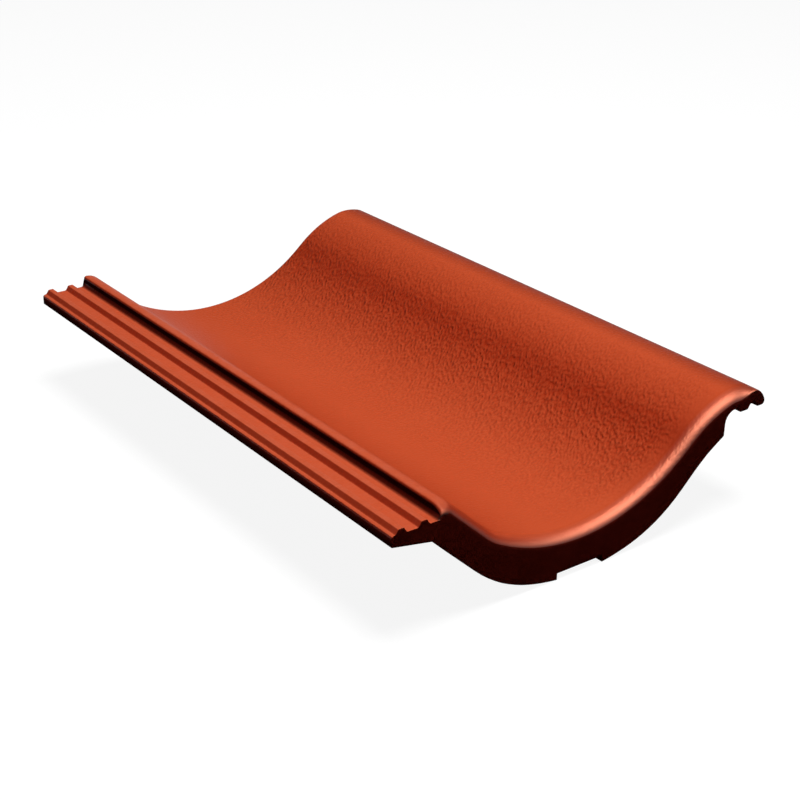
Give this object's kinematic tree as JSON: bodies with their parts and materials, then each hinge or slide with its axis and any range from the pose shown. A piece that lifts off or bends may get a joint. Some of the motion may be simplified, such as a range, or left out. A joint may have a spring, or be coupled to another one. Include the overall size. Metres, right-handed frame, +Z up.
{
  "type": "concrete roof tile",
  "caption": "Interlocking concrete roof tile with a broad pan, a side roll, a channel flange on one edge and an overlock with ribs on the other.",
  "frame": {"origin": "centre of the tile's plan on the level floor that its nose feet and nibs stand on", "axes": "+Y along the tile from the nose (lower end) to the head, +X across it from the channel flange to the roll, +Z up out of the weather face"},
  "size_m": [0.286, 0.42, 0.0836],
  "materials": {
    "coated_concrete": "terracotta red surface coating on fine, slightly pebbled cast concrete, low sheen"
  },
  "bodies": {
    "root": {"roof_tile": "coated_concrete"}
  },
  "joints": []
}
